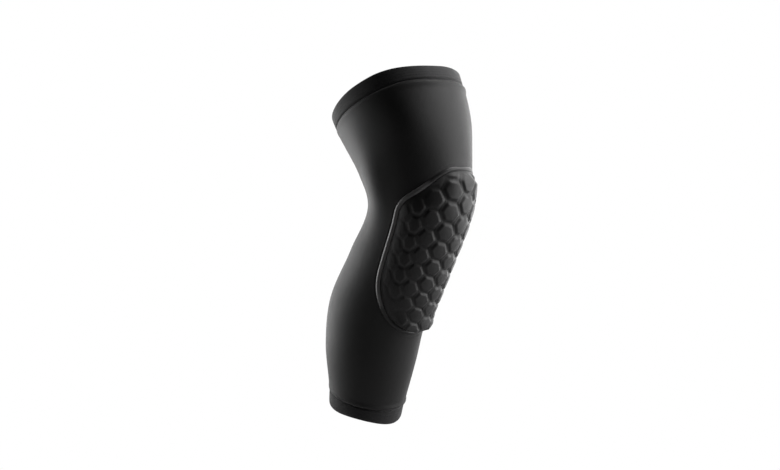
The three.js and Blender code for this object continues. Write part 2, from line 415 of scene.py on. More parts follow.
tubeKnit = knitMaterial("tubeKnit", {
    "dark": (0.0084, 0.0080, 0.0083), "light": (0.0176, 0.0170, 0.0174), "patch": 26.0, "rough": 0.56,
    "lean": 0.55, "loopDepth": 0.7, "bump": 0.35, "relief": 0.05,
    "sheen": 0.12, "sheenRough": 0.35, "gloss": 0.5,
})
# the hem's fold mark gives wear at the folded edge, painted light on the front and painted shade behind
hemKnit = knitMaterial("hemKnit", {
    "dark": (0.0084, 0.0082, 0.0088), "light": (0.0300, 0.0294, 0.0312), "patch": 40.0, "rough": 0.66,
    "lean": 0.5, "loopDepth": 0.8, "bump": 0.45, "relief": 0.06,
    "sheen": 0.08, "sheenRough": 0.4, "gloss": 0.4, "paintedLightAndWearMark": "fold",
})
# the cover's shoulder mark gives wear on the cells' shoulders and painted shade in the valley along the rim
coverKnit = knitMaterial("coverKnit", {
    "dark": (0.0125, 0.0120, 0.0123), "light": (0.0290, 0.0280, 0.0286), "patch": 35.0, "rough": 0.5,
    "lean": 0.45, "loopDepth": 0.5, "bump": 0.25, "relief": 0.03,
    "sheen": 0.1, "sheenRough": 0.3, "gloss": 0.5, "paintedLightAndWearMark": "shoulderWearAndRimShade",
})
# the light colour is a painted highlight along the bead's crest, set by its highlight mark
rimWeld = knitMaterial("rimWeld", {
    "dark": (0.0124, 0.0120, 0.0122), "light": (0.1840, 0.1800, 0.1820), "patch": 50.0, "rough": 0.32,
    "lean": 0.3, "loopDepth": 0.3, "bump": 0.15, "relief": 0.02,
    "sheen": 0.1, "sheenRough": 0.3, "gloss": 0.55, "paintedLightAndWearMark": "paintedHighlight",
})
seamThread = knitMaterial("seamThread", {
    "dark": (0.012, 0.012, 0.013), "light": (0.024, 0.024, 0.026), "patch": 300.0, "rough": 0.5,
    "lean": 0.5, "loopDepth": 0.5, "bump": 0.0, "relief": 0.01,
    "sheen": 0.15, "sheenRough": 0.3, "gloss": 0.5,
})
print("materials made")

# Knitted tube

tube = {
    "around": 280,
    "rows": 242,
    "innerRows": 60,
    "wall": 1.5,
    "seamGap": 0.15,
    "seamRows": (0.35, 0.8, 1.4, 2.2, 3.2),
    "wales": 600,
    "course": 0.62,
    "seamFall": 1.25,
    "seamFallReach": 1.1,
    "seamSwell": 0.45,
    "seamSwellAt": 3.4,
    "seamSwellReach": 3.0,
    "frontSwell": 2.0,
    "flangeReach": 7.0,
    "flangeEdge": 1.3,
    "flangeStep": 0.35,
    "weldAt": 3.8,
    "weldHalf": 1.1,
    "weldDepth": 0.8,
    "nearPad": {"across": 105, "above": 25, "below": 235},
    "padPoints": 160,
}
frontSide = {"from": 0.0, "full": 0.7}  # cosines of the turn from the front

turnAngles = np.linspace(0, 2 * math.pi, tube["around"], endpoint=False)
waleGrid = np.linspace(0, tube["wales"], tube["around"] + 1)


def courseGrid(rings):
    # running mean length from ring to ring, counted in courses
    step = np.linalg.norm(np.diff(np.concatenate([rings, rings[:1]]), axis=0), axis=2).mean(axis=1)
    return np.concatenate([[0], np.cumsum(step)]) / tube["course"]


fullness = {  # rise in mm, turn from the front, half of its turn, height, reach
    "bendSide": (5.0, 106, 17, 27, 42),
    "overBend": (3.2, 53, 20, 78, 26),
}


def inFront(angles):
    return ease(np.cos(angles), frontSide["from"], frontSide["full"])


def turnFromFront(angles):
    return np.degrees(np.abs((angles + math.pi) % (2 * math.pi) - math.pi))


def fullLift(heights, angles):
    # the worn tube is fuller above its bend and turns sharply from side to back, alike on both sides
    turn = turnFromFront(angles)
    return sum(
        rise * np.exp(-(((turn - at) / halfTurn) ** 2) - ((heights - height) / reach) ** 2)
        for rise, at, halfTurn, height, reach in fullness.values()
    )


hem = {
    "inset": 0.8,
    "cloth": 2.6,
    "fold": 1.3,
    "seamRound": 0.95,
    "seamRoundReach": 1.1,
    "steps": 44,
    "stepBias": 1.2,
    "turnSteps": 9,
    "backSteps": 8,
    "puff": 0.35,
    "puffRound": 0.8,
    "ribs": 5,
    "ribHeight": 0.05,
    "foldWorn": 2.2,
    "frontPaintedLight": 1.3,
    "frontPaintedLightFrom": (-0.3, 0.8),  # cosines of the turn from the front
    "flareBias": 1.5,
    "thighFlare": 2.6,
    "calfFlare": 1.6,
    "thighSeamWave": (-2.8, (10, 56, 4.2), (85, 125, -0.6)),  # at the front, then from, to and step by turn
    "thighEdgeWave": (-5.0, (12, 70, 7.4), (85, 125, -2.2)),
    "calfEdgeWave": (-5.0, (0, 60, 4.6), (60, 115, -2.8)),
    "waveFrom": 62,
}


def hemWave(wave, angles):
    # how far the worn hem has slid up, alike on both sides
    turn = turnFromFront(angles)
    start, *steps = wave
    return start + sum(step * ease(turn, low, high) for low, high, step in steps)


def slidUp(heights, angles):
    # the tube's rows follow the thigh seam's wave
    return heights + ease(heights, hem["waveFrom"], thighSeam) * hemWave(hem["thighSeamWave"], angles)


def padFlange(heights):
    # the tube's face round the pad: a low pressed border with a welded groove in it
    half = tube["around"] // 2
    rings = outerPoint(heights[:, None], turnAngles[None, : half + 1])
    reach = np.stack([runLength(ring) for ring in rings])
    across = np.concatenate([reach, -reach[:, 1:half][:, ::-1]], axis=1)
    along = np.interp(heights, heightTable, frontLength)[:, None] - padTopLength + np.zeros_like(across)
    near = tube["nearPad"]
    closeBy = (np.abs(across) < near["across"]) & (along < near["above"]) & (along > -near["below"])
    away = -farFromLine(np.stack([across[closeBy], along[closeBy]], axis=1), rimLine(tube["padPoints"]))
    border = 1 - ease(away, tube["flangeReach"] - tube["flangeEdge"], tube["flangeReach"])
    raised = np.zeros_like(across)
    raised[closeBy] = tube["flangeStep"] * border
    raised[closeBy] -= tube["weldDepth"] * np.exp(-(((away - tube["weldAt"]) / tube["weldHalf"]) ** 2))
    return raised


def knittedTube():
    low, high = calfSeam + tube["seamGap"], thighSeam - tube["seamGap"]
    near = np.array(tube["seamRows"])
    heights = np.unique(np.concatenate([np.linspace(low, high, tube["rows"]), low + near, high - near]))
    fromSeam = np.minimum(heights - low, high - heights)
    fall = tube["seamFall"] * np.exp(-((fromSeam / tube["seamFallReach"]) ** 2))
    roll = tube["seamSwell"] * np.exp(-(((fromSeam - tube["seamSwellAt"]) / tube["seamSwellReach"]) ** 2))
    lift = roll[:, None] * (1 + tube["frontSwell"] * inFront(turnAngles))[None, :] - fall[:, None]
    turns = turnAngles[None, :]
    slid = slidUp(heights[:, None], turns)
    outer = facePoint(slid, turns, lift + (padFlange(heights) + fullLift(slid, turns)))
    slid = slidUp(np.linspace(high, low, tube["innerRows"])[:, None], turns)
    inner = facePoint(slid, turns, fullLift(slid, turns) - tube["wall"])
    rings = np.concatenate([outer, inner])
    return bandMesh("knittedTube", rings, waleGrid, courseGrid(rings))


sleeve = knittedTube()
placePiece(sleeve, "knit", tubeKnit, "sleeve_body")
print("tube:", len(sleeve.data.polygons), "faces")

# Folded hems, each a band whose cloth turns over at the open edge

def hemPlace(edge, seam, heights, angles):
    # heights slid by the hem's wave, and how far the hem stands out in front
    share = np.clip((heights - seam) / (edge - seam), 0, 1)
    stand = share ** hem["flareBias"] * inFront(angles)
    if edge > seam:
        atSeam, atEdge = (hemWave(hem[wave], angles) for wave in ("thighSeamWave", "thighEdgeWave"))
        return heights + ((1 - share) * atSeam + share * atEdge), hem["thighFlare"] * stand
    return heights + share * hemWave(hem["calfEdgeWave"], angles), hem["calfFlare"] * stand


def foldedHem(name, edge, seam):
    inward = 1 if edge > seam else -1
    turnAt = edge - inward * hem["fold"]
    shut = seam + inward * tube["seamGap"]
    share = np.linspace(0, 1, hem["steps"]) ** hem["stepBias"]
    puff = hem["puff"] * np.sin(np.pi * share) ** hem["puffRound"]
    puff += hem["ribHeight"] * np.sin(np.pi * share) * np.cos(2 * np.pi * hem["ribs"] * share)
    closing = -hem["seamRound"] * np.exp(-((share * abs(turnAt - shut) / hem["seamRoundReach"]) ** 2))
    turn = np.linspace(0, math.pi, hem["turnSteps"] + 2)[1:-1]
    back, half = -hem["inset"] - hem["cloth"], hem["cloth"] / 2
    middle = -hem["inset"] - half
    profile = [(shut + (turnAt - shut) * s, -hem["inset"] + p + c) for s, p, c in zip(share, puff, closing)]
    profile += [(turnAt + inward * hem["fold"] * math.sin(t), middle + half * math.cos(t)) for t in turn]
    profile += [(turnAt + (shut - turnAt) * s, back) for s in np.linspace(0, 1, hem["backSteps"])]
    if inward < 0:
        profile = profile[::-1]
    heights = np.array([p[0] for p in profile])
    lifts = np.array([p[1] for p in profile])
    hung, stand = hemPlace(edge, seam, heights[:, None], turnAngles[None, :])
    rings = facePoint(hung, turnAngles[None, :], lifts[:, None] + stand)
    worn = np.exp(-(((heights - edge) / hem["foldWorn"]) ** 2))
    # painted light: the hem is lighter at the front and darker at the back, as light falls
    paintedFrontLight = hem["frontPaintedLight"] * (ease(np.cos(turnAngles), *hem["frontPaintedLightFrom"]) - 0.5)
    # the fold mark is wear along the folded edge plus this painted light and shade
    return bandMesh(name, rings, waleGrid, courseGrid(rings), {"fold": worn[:, None] + paintedFrontLight[None, :]})


thighHem = foldedHem("thighHem", thighEdge, thighSeam)
calfHem = foldedHem("calfHem", calfEdge, calfSeam)
placePiece(thighHem, "hem", hemKnit, "top_hem")
placePiece(calfHem, "hem", hemKnit, "bottom_hem")
print("hems:", len(thighHem.data.polygons), "faces each")

# Geometry Nodes helpers

def newNodes(name, inputs):
    tree = bpy.data.node_groups.new(name, "GeometryNodeTree")
    tree.interface.new_socket("Geometry", in_out="INPUT", socket_type="NodeSocketGeometry")
    for label, kind in inputs:
        tree.interface.new_socket(label, in_out="INPUT", socket_type=kind)
    tree.interface.new_socket("Geometry", in_out="OUTPUT", socket_type="NodeSocketGeometry")
    return tree, tree.nodes.new("NodeGroupInput").outputs, tree.nodes.new("NodeGroupOutput").inputs


def facingPath(tree, given):
    # the given edges as a curve, and the stored direction that faces out of the tube
    path = addNode(tree, "GeometryNodeMeshToCurve")
    tree.links.new(given["Geometry"], path.inputs["Mesh"])
    outward = addNode(tree, "GeometryNodeInputNamedAttribute", data_type="FLOAT_VECTOR")
    setInputs(outward, {"Name": "outward"})
    return path.outputs["Curve"], outward.outputs["Attribute"]


def endNodes(tree, geometry, given, result):
    # plain geometry in its finish, as the tree's result
    real = addNode(tree, "GeometryNodeRealizeInstances")
    tree.links.new(geometry, real.inputs["Geometry"])
    finish = addNode(tree, "GeometryNodeSetMaterial")
    tree.links.new(real.outputs["Geometry"], finish.inputs["Geometry"])
    tree.links.new(given["Finish"], finish.inputs["Material"])
    tree.links.new(finish.outputs["Geometry"], result["Geometry"])


def pathMesh(name, lines, normals, marks=None):
    # closed lines of points, each point with the direction that faces out of the tube
    mesh = bpy.data.meshes.new(name)
    edges, start = [], 0
    for line in lines:
        order = np.arange(len(line))
        edges.append(np.stack([start + order, start + np.roll(order, -1)], axis=1))
        start += len(line)
    points = np.vstack(lines) * mm
    mesh.from_pydata(points.tolist(), np.vstack(edges).tolist(), [])
    attribute = mesh.attributes.new("outward", "FLOAT_VECTOR", "POINT")
    attribute.data.foreach_set("vector", np.vstack(normals).astype(np.float32).ravel())
    addMarks(mesh, marks)
    return addObject(name, mesh)


def grown(piece, tree, values):
    # runs the tree on the piece and keeps the result as a plain mesh
    modifier = piece.modifiers.new(tree.name, "NODES")
    modifier.node_group = tree
    for item in tree.interface.items_tree:
        if item.in_out == "INPUT" and item.name in values:
            modifier[item.identifier] = values[item.name]
    bpy.context.view_layer.update()
    made = bpy.data.meshes.new_from_object(piece.evaluated_get(bpy.context.evaluated_depsgraph_get()))
    piece.modifiers.remove(modifier)
    old = piece.data
    piece.data = made
    bpy.data.meshes.remove(old)
    made.name = piece.name
    return piece


# Rim, a bead swept along the pad's outline

rim = {
    "points": 420,
    "sides": 26,
    "crest": 2.8,
    "roundness": 1.15,
    "halfWidth": 3.0,
    "outward": 0.65,
    "sink": 2.2,
    "sinkFull": 0.3,  # share of each reach where the bead is sunk fully
    "sunkPaintedHighlightFade": 1.5,
    "footReach": 44,
    "topReach": 20,
}


def rimSunk(along):
    # the bead lies low along the pad's foot and top
    foot, top, full = rim["footReach"], rim["topReach"], rim["sinkFull"]
    atFoot = ease(-along, -padFoot - foot, -padFoot - full * foot)
    return np.maximum(atFoot, ease(along, -top, -full * top))


def beadNodes():
    tree, given, result = newNodes("rimBead", [
        ("Half Width", "NodeSocketFloat"), ("Crest", "NodeSocketFloat"), ("Roundness", "NodeSocketFloat"),
        ("Sides", "NodeSocketInt"), ("Finish", "NodeSocketMaterial"),
    ])
    link = tree.links.new
    curve, outward = facingPath(tree, given)
    facing = addNode(tree, "GeometryNodeSetCurveNormal", mode="FREE")
    link(curve, facing.inputs["Curve"])
    link(outward, facing.inputs["Normal"])
    circle = addNode(tree, "GeometryNodeCurvePrimitiveCircle", mode="RADIUS")
    setInputs(circle, {"Radius": 1.0})
    link(given["Sides"], circle.inputs["Resolution"])
    parts = addNode(tree, "ShaderNodeSeparateXYZ")
    link(addNode(tree, "GeometryNodeInputPosition").outputs[0], parts.inputs[0])
    rise = math2(tree, "POWER", math2(tree, "MAXIMUM", parts.outputs["X"], 0.0), given["Roundness"])
    shaped = addNode(tree, "ShaderNodeCombineXYZ")
    link(math2(tree, "MULTIPLY", rise, given["Crest"]), shaped.inputs["X"])
    link(math2(tree, "MULTIPLY", parts.outputs["Y"], given["Half Width"]), shaped.inputs["Y"])
    profile = addNode(tree, "GeometryNodeSetPosition")
    link(circle.outputs["Curve"], profile.inputs["Geometry"])
    link(shaped.outputs[0], profile.inputs["Position"])
    swept = addNode(tree, "GeometryNodeCurveToMesh")
    link(facing.outputs["Curve"], swept.inputs["Curve"])
    link(profile.outputs["Geometry"], swept.inputs["Profile Curve"])
    endNodes(tree, swept.outputs["Mesh"], given, result)
    return tree


def padRim():
    line = movedOut(rimLine(rim["points"]), rim["outward"])
    sunk = rimSunk(line[:, 1])
    seat = padPoint(line[:, 0], line[:, 1], padLayout["seat"] - rim["sink"] * sunk)
    # painted highlight: the bead is lighter along its length and fades where it lies sunk, as light catches
    # it
    paintedHighlight = 1 - rim["sunkPaintedHighlightFade"] * sunk
    path = pathMesh("padRim", [seat], [padNormal(line[:, 0], line[:, 1])], {"paintedHighlight": paintedHighlight})
    return grown(path, beadNodes(), {
        "Half Width": rim["halfWidth"] * mm, "Crest": rim["crest"] * mm, "Roundness": rim["roundness"],
        "Sides": rim["sides"], "Finish": rimWeld,
    })


bead = padRim()
bead.data.shade_smooth()
placePiece(bead, "rim", rimWeld, "pad_rim")
print("rim:", len(bead.data.polygons), "faces")

# Padded cover over the foam cells

cells = {
    "topPitch": 24.5,
    "footPitch": 18.5,
    "start": 16,
    "rise": 4.5,
    "columnReach": 92,
    "columnTurn": 13.5,
    "rounds": 12,
    "least": 0.25,
}
latticeReach = -padFoot * cells["topPitch"] / (cells["topPitch"] - cells["footPitch"])
rowRatio = 1 - cells["topPitch"] / latticeReach
hexSlope = math.sqrt(3) / 2


def latticeAt(across, along):
    # column and row of a point of the layout
    column = np.zeros_like(across)
    for _ in range(cells["rounds"]):
        share = (along + cells["start"] + latticeReach) / (latticeReach + cells["rise"] * np.abs(column))
        lean = np.arcsin(np.clip(across / (share * cells["columnReach"]), -1, 1))
        column = np.degrees(lean) / cells["columnTurn"]
    return column, np.log(share) / np.log(rowRatio)


def cellAt(column, row):
    # nearest cell and the offsets from its middle, in row pitches of a regular hexagon
    best = None
    for base in (np.floor(column), np.floor(column) + 1):
        odd = np.mod(base, 2) * 0.5
        line = np.round(row - odd) + odd
        x, y = (column - base) * hexSlope, row - line
        far = x * x + y * y
        if best is None:
            best = [far, base, line, x, y]
        else:
            nearer = far < best[0]
            best = [np.where(nearer, new, old) for new, old in zip((far, base, line, x, y), best)]
    return best[1:]


cover = {
    "acrossSteps": 240,
    "alongSteps": 300,
    "gridPoints": 2400,
    "gridCorners": (3, 1),  # corners of the layout that the grid's own corners meet
    "edgePoints": 200,
    "floor": 2.5,
    "floorSink": 1.6,
    "crown": 8.3,
    "footCrown": 1.2,
    "topDepth": 2.5,
    "footDepth": 1.6,
    "borderDepth": 0.4,
    "borderReach": 46,
    "borderFrom": 4,
    "grooveHalf": 0.5,
    "shoulderAt": 4.6,
    "cornerRound": 14,
    "leastSqueeze": 0.25,
    "flatness": 0.65,
    "flatRange": (-1.0, 1.6),
    "leastFacing": 0.6,
    "deepAlong": (-62, -40),
    "deepAcross": (-74, -40),
    "bevel": 26.0,
    "bevelRound": 1.6,
    "footBevelRound": 0.6,
    "footBevel": 2.4,
    "topBevel": 12.5,
    "topBevelHalf": 42,
    "topBevelHalfFull": 0.5,
    "topBevelDepth": 30,
    "topBevelDepthFull": 0.4,
    "footReach": 30,
    "footReachFull": 0.3,
    "underRings": 6,
    "underEnd": 0.12,
    "wale": 0.7,
    "rub": 0.1,
    "rubReach": 0.9,
    "borderRub": 0.25,
    "paintedShadeReach": 14.0,
    "paintedShadeDark": 0.4,
    "topPaintedShadeDark": 0.3,
    "topPaintedShadeSpan": (-120, -50),
}

swell = {
    "size": 0.01,
    "heldWall": 0.2,
    "heldRim": 2.0,
    "pressure": 4.0,
    "mass": 0.02,
    "stretch": 15.0,
    "shear": 5.0,
    "bend": 0.5,
    "quality": 5,
    "frames": 20,
    "limit": 1.0,
    "smoothing": 2,
}


def coverGrid():
    # a grid that meets the outline on all four sides
    panel = padEdge(cover["gridPoints"])
    low, high = (padLayout["corners"][n][:2] for n in cover["gridCorners"])
    spots = (low, high, (-high[0], high[1]), (-low[0], low[1]))
    at = [int(np.argmin(np.linalg.norm(panel - np.array(spot), axis=1))) for spot in spots]

    def side(first, last, steps):
        end = at[last] + (len(panel) if at[last] < at[first] else 0)
        line = panel[np.arange(at[first], end + 1) % len(panel)]
        length = runLength(line)
        where = np.linspace(0, length[-1], steps + 1)
        return np.stack([np.interp(where, length, line[:, n]) for n in range(2)], axis=1)

    right = side(0, 1, cover["alongSteps"])
    top = side(1, 2, cover["acrossSteps"])[::-1]
    left = side(2, 3, cover["alongSteps"])[::-1]
    bottom = side(3, 0, cover["acrossSteps"])
    u = np.linspace(0, 1, cover["acrossSteps"] + 1)[None, :, None]
    v = np.linspace(0, 1, cover["alongSteps"] + 1)[:, None, None]
    blend = (1 - v) * bottom[None] + v * top[None] + (1 - u) * left[:, None] + u * right[:, None]
    blend -= (1 - u) * (1 - v) * bottom[0] + u * (1 - v) * bottom[-1] + (1 - u) * v * top[0] + u * v * top[-1]
    return blend


def coverLift(grid):
    # height of the cover over the tube, its shoulder wear with painted shade along the rim, and where it is
    # welded down
    across, along = grid[..., 0], grid[..., 1]
    column, row = latticeAt(across, along)
    base, line, x, y = cellAt(column, row)
    sides = np.abs(np.stack([y, hexSlope * x + y / 2, hexSlope * x - y / 2]))
    power = cover["cornerRound"]
    edge = 0.5 - (sides**power).sum(axis=0) ** (1 / power)
    pitch = cells["topPitch"] * rowRatio**row
    squeeze = np.cos(np.radians(column * cells["columnTurn"]))
    sideways = np.maximum(sides[1], sides[2]) > sides[0]
    narrowed = cover["leastSqueeze"] + (1 - cover["leastSqueeze"]) * squeeze
    fromGroove = np.maximum(edge, 0) * pitch * np.where(sideways, narrowed, 1.0)
    scale = pitch / cells["topPitch"]
    wall = ease(fromGroove, cover["grooveHalf"] * scale, cover["shoulderAt"] * scale)
    outline = padEdge(cover["edgePoints"])
    fromRim = np.maximum(farFromLine(grid.reshape(-1, 2), outline).reshape(across.shape), 0)
    half, deep, foot = cover["topBevelHalf"], cover["topBevelDepth"], cover["footReach"]
    atTop = ease(-np.abs(across), -half, -cover["topBevelHalfFull"] * half)
    atTop = atTop * ease(along, -deep, -cover["topBevelDepthFull"] * deep)
    atFoot = ease(-along, -padFoot - foot, -padFoot - cover["footReachFull"] * foot)
    bevelWidth = cover["bevel"] + (cover["topBevel"] - cover["bevel"]) * atTop
    bevelWidth += (cover["footBevel"] - cover["bevel"]) * atFoot
    share = np.clip(fromRim / bevelWidth, 0, 1)
    bevel = 1 - (1 - share) ** (cover["bevelRound"] + cover["footBevelRound"] * atFoot)

    height, angle = padSpot(across, along)
    under, normal = outerPoint(height, angle), outerNormal(height, angle)
    number = 100 * base + 2 * line  # one for each cell
    top = cover["crown"] + cover["footCrown"] * atFoot
    depth = cover["topDepth"] + (cover["footDepth"] - cover["topDepth"]) * np.clip(along / padFoot, 0, 1)
    nearTop = ease(along, *cover["deepAlong"]) * ease(-np.abs(across), *cover["deepAcross"])
    inFrom = np.maximum(ease(fromRim, cover["borderFrom"], cover["borderReach"]), np.maximum(nearTop, atFoot))
    depth = depth * (cover["borderDepth"] + (1 - cover["borderDepth"]) * inFrom)
    area = np.abs(np.gradient(across, axis=1) * np.gradient(along, axis=0))
    for cell in np.unique(number):
        here = number == cell
        whole = hexSlope * pitch[here].mean() ** 2 * squeeze[here].mean()
        if area[here].sum() < cells["least"] * whole:
            wall[here] = 0
            continue
        heart = here & (fromGroove > cover["shoulderAt"] * scale)
        if not heart.any():
            heart = here
        centre, facing = under[heart].mean(axis=0), normal[heart].mean(axis=0)
        facing /= np.linalg.norm(facing)
        slant = np.maximum(normal[here] @ facing, cover["leastFacing"])
        flat = (cover["crown"] - (under[here] - centre) @ facing) / slant
        top[here] += cover["flatness"] * np.clip(flat - cover["crown"], *cover["flatRange"])
    floor = cover["floor"] - cover["floorSink"] * rimSunk(along)
    lift = floor + (top - floor - depth * (1 - wall)) * bevel
    fromShoulder = fromGroove / scale - cover["shoulderAt"]
    rub = cover["rub"] * np.exp(-((fromShoulder / cover["rubReach"]) ** 2)) * wall
    rub *= cover["borderRub"] + (1 - cover["borderRub"]) * inFrom
    # painted shade: darker in a band along the rim, most towards the top corner, where shade falls
    paintedRimShade = np.exp(-((fromRim / cover["paintedShadeReach"]) ** 2)) * (1 - np.maximum(atTop, atFoot))
    rub -= paintedRimShade * (cover["paintedShadeDark"] + cover["topPaintedShadeDark"] * ease(along, *cover["topPaintedShadeSpan"]))
    return lift, rub, (wall < swell["heldWall"]) | (fromRim < swell["heldRim"])


def finer(field):
    # doubles a grid of values with cubic midpoints along both of its directions
    for _ in range(2):
        padded = np.concatenate([2 * field[:1] - field[1:2], field, 2 * field[-1:] - field[-2:-1]])
        between = (9 * (padded[1:-2] + padded[2:-1]) - padded[:-3] - padded[3:]) / 16
        whole = np.empty((2 * len(field) - 1, *field.shape[1:]))
        whole[::2], whole[1::2] = field, between
        field = np.swapaxes(whole, 0, 1)
    return field


def swollen(over, held):
    # the cover as a cloth that air pushes out between its welds, on every second row and column of the grid
    rest = over[::2, ::2]
    quads = gridQuads(*rest.shape[:2])[1]
    mesh = bpy.data.meshes.new("coverCloth")
    start = rest.reshape(-1, 3) * swell["size"]
    mesh.from_pydata(start.tolist(), [], quads.tolist())
    piece = addObject("coverCloth", mesh)
    weld = piece.vertex_groups.new(name="weld")
    weld.add([int(n) for n in np.nonzero(held[::2, ::2].ravel())[0]], 1.0, "REPLACE")
    cloth = piece.modifiers.new("cloth", "CLOTH")
    settings = cloth.settings
    settings.quality = swell["quality"]
    settings.mass = swell["mass"]
    settings.vertex_group_mass = "weld"
    settings.use_pressure = True
    settings.uniform_pressure_force = swell["pressure"]
    settings.tension_stiffness = settings.compression_stiffness = swell["stretch"]
    settings.shear_stiffness = swell["shear"]
    settings.bending_stiffness = swell["bend"]
    settings.effector_weights.gravity = 0.0
    cloth.collision_settings.use_collision = False
    cloth.point_cache.frame_start, cloth.point_cache.frame_end = 1, swell["frames"]
    for step in range(1, swell["frames"] + 1):
        scene.frame_set(step)
    made = piece.evaluated_get(bpy.context.evaluated_depsgraph_get()).data
    ended = np.empty(start.size, np.float32)
    made.vertices.foreach_get("co", ended)
    scene.frame_set(1)
    bpy.data.objects.remove(piece)
    moved = (ended.reshape(-1, 3) - start) / swell["size"]
    length = np.linalg.norm(moved, axis=1, keepdims=True)
    moved *= np.minimum(1, swell["limit"] / np.maximum(length, 1e-9))
    print("cloth moved", round(float(length.max()), 2), "mm at most")
    moved = moved.reshape(rest.shape)
    for _ in range(swell["smoothing"]):
        for axis in (0, 1):
            ends = np.concatenate([moved.take([0], axis), moved, moved.take([-1], axis)], axis)
            count = moved.shape[axis]
            before, after = ends.take(range(count), axis), ends.take(range(2, count + 2), axis)
            moved = (before + 2 * moved + after) / 4
    return over + finer(moved)


def paddedCover():
    grid = coverGrid()
    lift, rub, held = coverLift(grid)
    over = padPoint(grid[..., 0], grid[..., 1], lift)
    over = swollen(over, held)
    number, face = gridQuads(*grid.shape[:2])
    quads = [face]
    loop = np.concatenate([number[0, :-1], number[:-1, -1], number[-1, :0:-1], number[:0:-1, 0]])
    flat = grid.reshape(-1, 2)
    middle = np.array([0.0, (flat[:, 1].min() + flat[:, 1].max()) / 2])
    points, uvs = [over.reshape(-1, 3)], [flat]
    last = loop
    for share in np.linspace(1, cover["underEnd"], cover["underRings"]):
        ring = middle + (flat[loop] - middle) * share
        points.append(padPoint(ring[:, 0], ring[:, 1], padLayout["seat"]))
        uvs.append(ring)
        fresh = np.arange(len(loop)) + sum(len(p) for p in points[:-1])
        quads.append(np.stack([last, fresh, np.roll(fresh, -1), np.roll(last, -1)], axis=1))
        last = fresh
    points, uvs, quads = np.vstack(points), np.vstack(uvs) / cover["wale"], np.vstack(quads)
    marks = {"shoulderWearAndRimShade": np.concatenate([rub.ravel(), np.zeros(len(points) - rub.size)])}
    piece = quadMesh("paddedCover", points, quads, uvs[quads.ravel()], marks)
    return piece, last


def closeUnder(piece, edge):
    # the last small opening under the pad, as a fan of faces
    work = bmesh.new()
    work.from_mesh(piece.data)
    work.verts.ensure_lookup_table()
    face = work.faces.new([work.verts[int(n)] for n in edge])
    poked = bmesh.ops.poke(work, faces=[face])
    for made in poked["faces"]:
        made.smooth = True
    bmesh.ops.recalc_face_normals(work, faces=work.faces)
    work.to_mesh(piece.data)
    work.free()


pad, underEdge = paddedCover()
closeUnder(pad, underEdge)
placePiece(pad, "pad", coverKnit, "knee_pad")
print("pad:", len(pad.data.polygons), "faces")

# Coverstitch rows that hold the hems down

seamStitch = {
    "length": 2.6,
    "gap": 0.7,
    "thread": 0.42,
    "threadSink": 0.6,
    "threadSides": 6,
    "bowSteps": 6,
    "crest": 0.3,
    "rows": (2.2, 5.4),
    "rowPoints": 240,
    "puffShare": 0.6,
}


def stitchNodes():
    tree, given, result = newNodes("hemStitches", [
        ("Stitch Length", "NodeSocketFloat"), ("Stitch Gap", "NodeSocketFloat"),
        ("Thread Width", "NodeSocketFloat"), ("Crest", "NodeSocketFloat"), ("Finish", "NodeSocketMaterial"),
    ])
    link = tree.links.new
    curve, outward = facingPath(tree, given)
    spaced = addNode(tree, "GeometryNodeResampleCurve", mode="LENGTH")
    link(curve, spaced.inputs["Curve"])
    link(math2(tree, "ADD", given["Stitch Length"], given["Stitch Gap"]), spaced.inputs["Length"])
    turned = addNode(tree, "FunctionNodeAxesToRotation", primary_axis="Z", secondary_axis="X")
    link(outward, turned.inputs["Primary Axis"])
    link(addNode(tree, "GeometryNodeInputTangent").outputs[0], turned.inputs["Secondary Axis"])
    half = math2(tree, "MULTIPLY", given["Stitch Length"], 0.5)
    ends = []
    for sign in (-1.0, 1.0):
        spot = addNode(tree, "ShaderNodeCombineXYZ")
        link(math2(tree, "MULTIPLY", half, sign), spot.inputs["X"])
        link(math2(tree, "MULTIPLY", given["Thread Width"], -seamStitch["threadSink"]), spot.inputs["Z"])
        ends.append(spot.outputs[0])
    crest = addNode(tree, "ShaderNodeCombineXYZ")
    link(math2(tree, "MULTIPLY", given["Crest"], 2.0), crest.inputs["Z"])
    bow = addNode(tree, "GeometryNodeCurveQuadraticBezier")
    setInputs(bow, {"Resolution": seamStitch["bowSteps"]})
    link(ends[0], bow.inputs["Start"])
    link(crest.outputs[0], bow.inputs["Middle"])
    link(ends[1], bow.inputs["End"])
    yarn = addNode(tree, "GeometryNodeCurvePrimitiveCircle", mode="RADIUS")
    setInputs(yarn, {"Resolution": seamStitch["threadSides"]})
    link(math2(tree, "MULTIPLY", given["Thread Width"], 0.5), yarn.inputs["Radius"])
    stitch = addNode(tree, "GeometryNodeCurveToMesh")
    setInputs(stitch, {"Fill Caps": True})
    link(bow.outputs["Curve"], stitch.inputs["Curve"])
    link(yarn.outputs["Curve"], stitch.inputs["Profile Curve"])
    placed = addNode(tree, "GeometryNodeInstanceOnPoints")
    link(spaced.outputs["Curve"], placed.inputs["Points"])
    link(stitch.outputs["Mesh"], placed.inputs["Instance"])
    link(turned.outputs["Rotation"], placed.inputs["Rotation"])
    endNodes(tree, placed.outputs["Instances"], given, result)
    return tree


stitchTree = stitchNodes()


def hemStitching(name, edge, seam):
    inward = 1 if edge > seam else -1
    heights = [seam + inward * row for row in seamStitch["rows"]]
    angles = np.linspace(0, 2 * math.pi, seamStitch["rowPoints"], endpoint=False)
    lines, normals = [], []
    for height in heights:
        hung, stand = hemPlace(edge, seam, np.full(len(angles), height), angles)
        lines.append(facePoint(hung, angles, stand - hem["inset"] + hem["puff"] * seamStitch["puffShare"]))
        normals.append(outerNormal(hung, angles))
    path = pathMesh(name, lines, normals)
    return grown(path, stitchTree, {
        "Stitch Length": seamStitch["length"] * mm, "Stitch Gap": seamStitch["gap"] * mm,
        "Thread Width": seamStitch["thread"] * mm, "Crest": seamStitch["crest"] * mm, "Finish": seamThread,
    })


